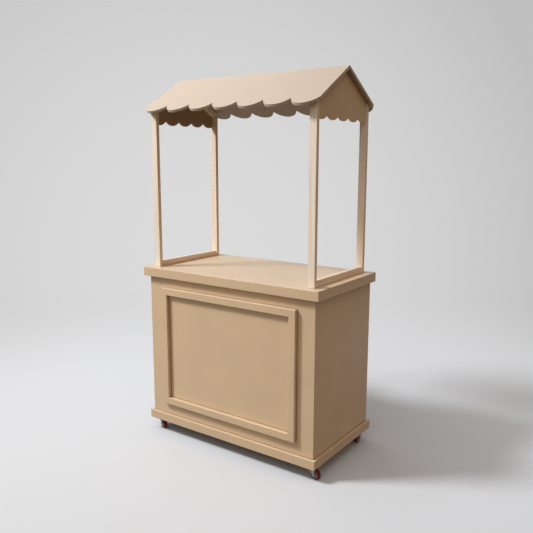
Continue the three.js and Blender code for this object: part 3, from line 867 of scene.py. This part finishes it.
def fork():
    """The pressed fork with its holes for the kingpin and the axle."""
    crown = add_bar("fork", FORK_CROWN_RADIUS, FORK_TOP - FORK_THICKNESS, FORK_TOP)
    saddle = add_block("saddle", (-FORK_HALF_WIDTH, -FORK_OUTER, FORK_TOP - FORK_THICKNESS),
                       (FORK_HALF_WIDTH, FORK_OUTER, FORK_TOP))
    combine(crown, saddle, "UNION")
    combine(crown, fork_side(-FORK_OUTER), "UNION")
    combine(crown, fork_side(FORK_INNER), "UNION")
    drill(crown, KINGPIN_RADIUS + SEAT_GAP, FORK_TOP - 2 * FORK_THICKNESS, FORK_TOP + MM)
    drill(crown, AXLE_RADIUS + BORE_GAP, -FORK_OUTER - MM, FORK_OUTER + MM, axis=Y, at=AXLE_PLACE)
    round_edges(crown, METAL_ROUND, outer_corner, 2)
    return crown


# %% [markdown]
# The tyre is a ring with round shoulders. Its section is a flat rectangle whose two outer corners
# are rounded, and spin turns the outline of that section about the axle. The hub starts as a
# drum: on each face an inset leaves the rim, an extrude sinks the dish, a second inset and
# extrude raise the boss, and the last inset marks the bore, which a bridge opens from face to
# face.

# %% Tyre and hub
def tyre():
    """The tyre, spun about the axle and then moved to it."""
    inner = HUB_RADIUS + SEAT_GAP
    ring = add_primitive(bpy.ops.mesh.primitive_plane_add, "tyre", size=1,
                         location=(0, 0, (inner + WHEEL_RADIUS) / 2),
                         rotation=(0, QUARTER_TURN, 0))
    ring.scale = (WHEEL_RADIUS - inner, 2 * TYRE_HALF, 1)
    settle(ring)
    edit(ring)
    pick(ring, "verts", lambda vert: near(vert.co.z, WHEEL_RADIUS))
    bpy.ops.mesh.bevel(offset=TYRE_SHOULDER, segments=6, affect="VERTICES")
    pick_all()
    bpy.ops.mesh.delete(type="ONLY_FACE")
    pick_all()
    bpy.ops.mesh.spin(steps=TYRE_STEPS, angle=2 * math.pi, center=(0, 0, 0), axis=(0, 1, 0))
    pick_all()
    bpy.ops.mesh.remove_doubles(threshold=0.01 * MM)
    bpy.ops.mesh.normals_make_consistent(inside=False)
    bpy.ops.transform.translate(value=AXLE_PLACE)
    leave()
    return ring


def hub():
    """The hub, with a dish and a boss on both faces and a bore right through."""
    drum = add_bar("wheel_hub", HUB_RADIUS, -HUB_HALF, HUB_HALF, axis=Y, at=AXLE_PLACE)
    edit(drum)
    for sign in (-1, 1):
        pick(drum, "faces", lies_at(Y, sign * HUB_HALF))
        bpy.ops.mesh.inset(thickness=HUB_RIM)
        extrude((0, -sign * HUB_DISH, 0))
        bpy.ops.mesh.inset(thickness=HUB_RADIUS - HUB_RIM - BOSS_RADIUS)
        extrude((0, sign * (BOSS_HALF - HUB_HALF + HUB_DISH), 0))
        bpy.ops.mesh.inset(thickness=BOSS_RADIUS - BORE_RADIUS)
    bore_ends = [Vector((TRAIL, y, WHEEL_RADIUS)) for y in (-BOSS_HALF, BOSS_HALF)]
    pick(drum, "faces", lambda face: any((middle(face) - spot).length < MM for spot in bore_ends))
    bpy.ops.mesh.bridge_edge_loops()
    leave()
    round_edges(drum, HUB_ROUND, outer_corner, 3)
    return drum


# %% [markdown]
# The axle is a bolt with a six-sided head and a nut. A six-sided bar with its outer edges
# chamfered serves for both. The screws have round heads with a cross recess, which two small
# blocks cut out.

# %% Axle bolt and screws
SCREW_RADIUS, CASTER_SCREW_HEAD, POST_SCREW_HEAD = 4.5 * MM, 2.3 * MM, 2.4 * MM
HEAD_ROUND, RECESS_REACH, RECESS_DEPTH, RECESS_HALF_WIDTH = 0.6, 0.55, 0.7, 0.5 * MM


def axle():
    """The axle bolt across the fork."""
    face = FORK_OUTER + BORE_GAP
    end = face + BOLT_HEAD
    bolt = add_bar("axle", AXLE_RADIUS, -end + MM, end + BOLT_TIP, axis=Y, at=AXLE_PLACE,
                   vertices=COARSE_ROUND)
    round_edges(bolt, METAL_ROUND, lambda edge: middle(edge).y > end, 2)
    for low, high in ((-end, -face), (face, end)):
        head = add_bar("head", BOLT_HEAD_RADIUS, low, high, axis=Y, at=AXLE_PLACE, vertices=6)
        round_edges(head, METAL_ROUND, lambda edge: near(abs(middle(edge).y), end), 2)
        combine(bolt, head, "UNION")
    return bolt


def screw(name, height):
    """A pan-head screw seen from below: its head hangs down from z = 0."""
    head = add_bar(name, SCREW_RADIUS, -height, 0, vertices=COARSE_ROUND)
    round_edges(head, height * HEAD_ROUND, lies_at(Z, -height), 4)
    reach = SCREW_RADIUS * RECESS_REACH
    for x, y in ((reach, RECESS_HALF_WIDTH), (RECESS_HALF_WIDTH, reach)):
        cutter = add_block("recess", (-x, -y, -height - MM), (x, y, -height * (1 - RECESS_DEPTH)))
        combine(head, cutter, "DIFFERENCE")
    return head


# %% [markdown]
# ## Four casters in place
#
# Each copy gets its own mesh. The plate and the kingpin stay square to the cart. The fork and the
# wheel are turned by the angle from the kingpin to the wheel, which the joints' places give.

# %% Copy and place
masters = {
    "caster_plate": (caster_plate(), ZINC_PLATE, None),
    "kingpin": (kingpin(), BRIGHT_STEEL, None),
    "fork": (fork(), ZINC_PLATE, "swivel"),
    "axle": (axle(), BRIGHT_STEEL, "swivel"),
    "wheel_hub": (hub(), GREY_NYLON, "wheel"),
    "tyre": (tyre(), RED_TYRE, "wheel"),
}
caster_screw = screw("caster_screw", CASTER_SCREW_HEAD)

for corner, *_ in CORNERS:
    pivot = Vector(joints[f"caster_swivel_{corner}"]["pos_m"])
    wheel = Vector(joints[f"wheel_spin_{corner}"]["pos_m"])
    heading = math.atan2(wheel.y - pivot.y, wheel.x - pivot.x)
    at_kingpin = Matrix.Translation((pivot.x, pivot.y, 0))
    turned = at_kingpin @ Matrix.Rotation(heading, 4, "Z")
    for word, (master, material, mover) in masters.items():
        node = f"{word}_{corner}"
        piece = copy_to(master, f"{node}_finished", turned if mover else at_kingpin)
        finish_piece(piece, material, f"{mover}_{corner}" if mover else "cart", node)
    for number, (_, y, x) in enumerate(CORNERS, 1):
        hole = Vector((x * PLATE_HOLE.x, y * PLATE_HOLE.y, CASTER_HEIGHT - PLATE.z))
        piece = copy_to(caster_screw, f"caster_screw_{corner}_{number}",
                        at_kingpin @ Matrix.Translation(hole))
        finish_piece(piece, BRIGHT_STEEL)
    print("caster", corner, "points", round(math.degrees(heading)), "degrees")

for master, *_ in masters.values():
    bpy.data.objects.remove(master)
bpy.data.objects.remove(caster_screw)

# %% [markdown]
# Long screws come up through the worktop's rim into each post. Only their heads show, and only
# from inside the cabinet.

# %% Post screws
POST_SCREW_SPACING = 16 * MM
post_screw = screw("post_screw", POST_SCREW_HEAD)
for corner, *_ in CORNERS:
    low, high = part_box(f"post_{corner}")
    spot = (low + high) / 2
    for number, shift in enumerate((-1, 1), 1):
        place = Matrix.Translation((spot.x + shift * POST_SCREW_SPACING / 2, spot.y, rim_bottom))
        piece = copy_to(post_screw, f"post_screw_{corner}_{number}", place)
        finish_piece(piece, BRIGHT_STEEL)
bpy.data.objects.remove(post_screw)

# %% [markdown]
# ## Studio floor and backdrop
#
# The cart stands on seamless paper, which is palest behind the cart and falls off to the sides.
# The tone is worked out from the direction in which one looks, in the same way for the world and
# for the far floor, so the two meet without a horizon.
#
# A pale floor would also throw more light back up at the cart than a real studio's floor does. So
# the paper is pale only to the camera and to mirrors. For the light that bounces it is mid grey.

# %% Backdrop tone
BRIGHTEST_WAY = (-0.654, 0.740, -0.155)
STAND = (1.73, -2.37, 1.38)
BRIGHT_TONE, DIM_TONE, TONE_FALL, MIRRORED_TONE = 0.71, 0.53, 1.15, 0.22


def backdrop_tone(add, direction):
    """How bright the paper looks along a direction. It stays pale to the camera all round, but
    a mirror also meets the unlit end of the studio, on the right, where it is dim."""
    facing = add("VectorMath", {0: direction, 1: BRIGHTEST_WAY}, operation="DOT_PRODUCT")
    tone = add("Math", {0: facing, 1: TONE_FALL, 2: BRIGHT_TONE - TONE_FALL},
               operation="MULTIPLY_ADD")
    mirrored = add("LightPath").outputs["Is Glossy Ray"]
    dimmest = add("MapRange", {"Value": mirrored, "To Min": DIM_TONE, "To Max": MIRRORED_TONE})
    return add("Math", {0: tone, 1: dimmest}, operation="MAXIMUM")


def seen_rays(add):
    """One for rays from the camera, from mirrors or through glass, zero for bounced light."""
    rays = add("LightPath").outputs
    seen = add("Math", {0: rays["Is Camera Ray"], 1: rays["Is Glossy Ray"]}, operation="MAXIMUM")
    return add("Math", {0: seen, 1: rays["Is Transmission Ray"]}, operation="MAXIMUM")


# %% [markdown]
# The floor's tone rises a little away from the lamp, which evens out the lamp's fall in
# brightness. Far from the cart the floor fades into the backdrop.

# %% Floor
FLOOR_NEAR_LAMP, FLOOR_FAR_SIDE, FLOOR_BOUNCE = "#BFBDBB", "#EDEDEF", "#635F56"
AWAY_FROM_LAMP, EVEN_FROM, EVEN_TO = (0.40, 0.92, 0), -2.0, 3.0
FADE_START, FADE_END, FLOOR_SIZE = 1.0, 3.8, 600

floor = add_primitive(bpy.ops.mesh.primitive_plane_add, "studio_floor", size=FLOOR_SIZE)
material, add, shader, place = new_material("studio_floor_paper")
seen = seen_rays(add)
along = add("VectorMath", {0: place, 1: AWAY_FROM_LAMP}, operation="DOT_PRODUCT")
even = add("MapRange", {"Value": along, "From Min": EVEN_FROM, "From Max": EVEN_TO})
pale = add("Mix", {0: even, 6: FLOOR_NEAR_LAMP, 7: FLOOR_FAR_SIDE}, data_type="RGBA")
tone = add("Mix", {0: seen, 6: FLOOR_BOUNCE, 7: pale}, data_type="RGBA")
connect(shader, {"Base Color": tone, "Roughness": 1.0, "Specular IOR Level": 0.0})
away = add("VectorMath", {0: place, 1: STAND}, operation="SUBTRACT")
way = add("VectorMath", {0: away}, operation="NORMALIZE")
far_paper = add("Emission", {"Strength": backdrop_tone(add, way)})
reach = add("VectorMath", {0: place}, operation="LENGTH")
fade = add("MapRange", {"Value": reach, "From Min": FADE_START, "From Max": FADE_END},
           interpolation_type="SMOOTHSTEP")
share = add("Math", {0: fade, 1: seen}, operation="MULTIPLY")
both = add("MixShader", {0: share, 1: shader, 2: far_paper})
connect(material.node_tree.nodes["Material Output"], {"Surface": both})
floor.data.materials.append(material)
print("floor fades from", FADE_START, "to", FADE_END, "m")

# %% [markdown]
# The world is the same paper to the camera and to mirrors. To the light that bounces it is the
# soft fill of a studio's walls and ceiling, strongest from the side of the camera and from above.
# The wall on the right is warm, and the ceiling above it less so.

# %% World
FILL_SIDES, FILL_FRONT_RISE, FILL_TOP_RISE = 0.325, 0.315, 0.38
FILL_LEFT_COLOUR, FILL_RIGHT_COLOUR = "#F9FCFF", "#F9C179"
WARM_FROM, WARM_TO, WARMTH_DROP = -0.1, 1.0, 0.4

world = bpy.data.worlds.new("studio_world")
bpy.context.scene.world = world
world.use_nodes = True
world.node_tree.nodes.clear()
add = partial(add_node, world)
way = add("TexCoord").outputs["Generated"]
x, y, z = add("SeparateXYZ", {0: way}).outputs
fronted = add("Math", {0: y, 1: -FILL_FRONT_RISE, 2: FILL_SIDES}, operation="MULTIPLY_ADD")
topped = add("Math", {0: z, 1: FILL_TOP_RISE, 2: fronted}, operation="MULTIPLY_ADD")
lowered = add("Math", {0: z, 1: -WARMTH_DROP, 2: x}, operation="MULTIPLY_ADD")
warmth = add("MapRange", {"Value": lowered, "From Min": WARM_FROM, "From Max": WARM_TO})
hue = add("Mix", {0: warmth, 6: FILL_LEFT_COLOUR, 7: FILL_RIGHT_COLOUR}, data_type="RGBA")
walls = add("Background", {"Color": hue, "Strength": topped})
paper = add("Background", {"Color": "#FFFFFF", "Strength": backdrop_tone(add, way)})
both = add("MixShader", {0: seen_rays(add), 1: walls, 2: paper})
add("OutputWorld", {"Surface": both})
print("fill", FILL_SIDES, "at the sides and", FILL_SIDES + FILL_TOP_RISE, "overhead")

# %% [markdown]
# ## Lamps
#
# Two lamps light the cart. The key is round, 1.2 m wide and a cool white, high on the left and in
# front. The floor's shadow gives its direction, and its distance makes the left half brighter than
# the right, as in the photograph. A softbox behind and to the left lies where the roof mirrors
# it, so it is what gives the roof its pale satin sheen.

# %% Key light and softbox
def add_lamp(name, shape, size, watts, colour, place, aim):
    """A lamp of a given shape and size in metres that points at its aim."""
    lamp_data = bpy.data.lights.new(name, "AREA")
    lamp_data.shape = shape
    lamp_data.size, lamp_data.size_y = size
    lamp_data.energy = watts
    lamp_data.color = linear(colour)[:3]
    lamp = bpy.data.objects.new(name, lamp_data)
    lamp.location = place
    lamp.rotation_euler = (Vector(aim) - Vector(place)).to_track_quat("-Z", "Y").to_euler()
    lamp.visible_camera = False
    bpy.context.collection.objects.link(lamp)


add_lamp("key_light", "DISK", size=(1.2, 1.2), watts=317, colour="#F3F8FF",
         place=(-2.78, -2.59, 4.83), aim=(0, 0, 0.85))
add_lamp("roof_softbox", "RECTANGLE", size=(2.0, 1.5), watts=6, colour="#FFFFFF",
         place=(-2.08, 1.38, 3.7), aim=(0, 0, 1.6))

# %% [markdown]
# ## Camera
#
# The camera stands where the photographer did: in front of the cart and to its right, above the
# worktop and below the eaves. Its lens and tilt make the cart's edges fall where the photograph
# has them.

# %% Camera
CAMERA_PLACE = Vector((1729.2, -2369.1, 1379.6)) * MM
CAMERA_TURN = [math.radians(angle) for angle in (90 - 10.06, -0.12, 35.25)]
SENSOR, FOCAL_PIXELS, PHOTO_PIXELS = 36, 617.9, 533
camera_data = bpy.data.cameras.new("camera")
camera_data.sensor_width = SENSOR
camera_data.lens = SENSOR * FOCAL_PIXELS / PHOTO_PIXELS
camera = bpy.data.objects.new("camera", camera_data)
camera.location = CAMERA_PLACE
camera.rotation_euler = CAMERA_TURN
bpy.context.collection.objects.link(camera)
bpy.context.scene.camera = camera
bpy.context.scene.view_settings.view_transform = "Standard"
print("lens", round(camera_data.lens, 2), "mm")
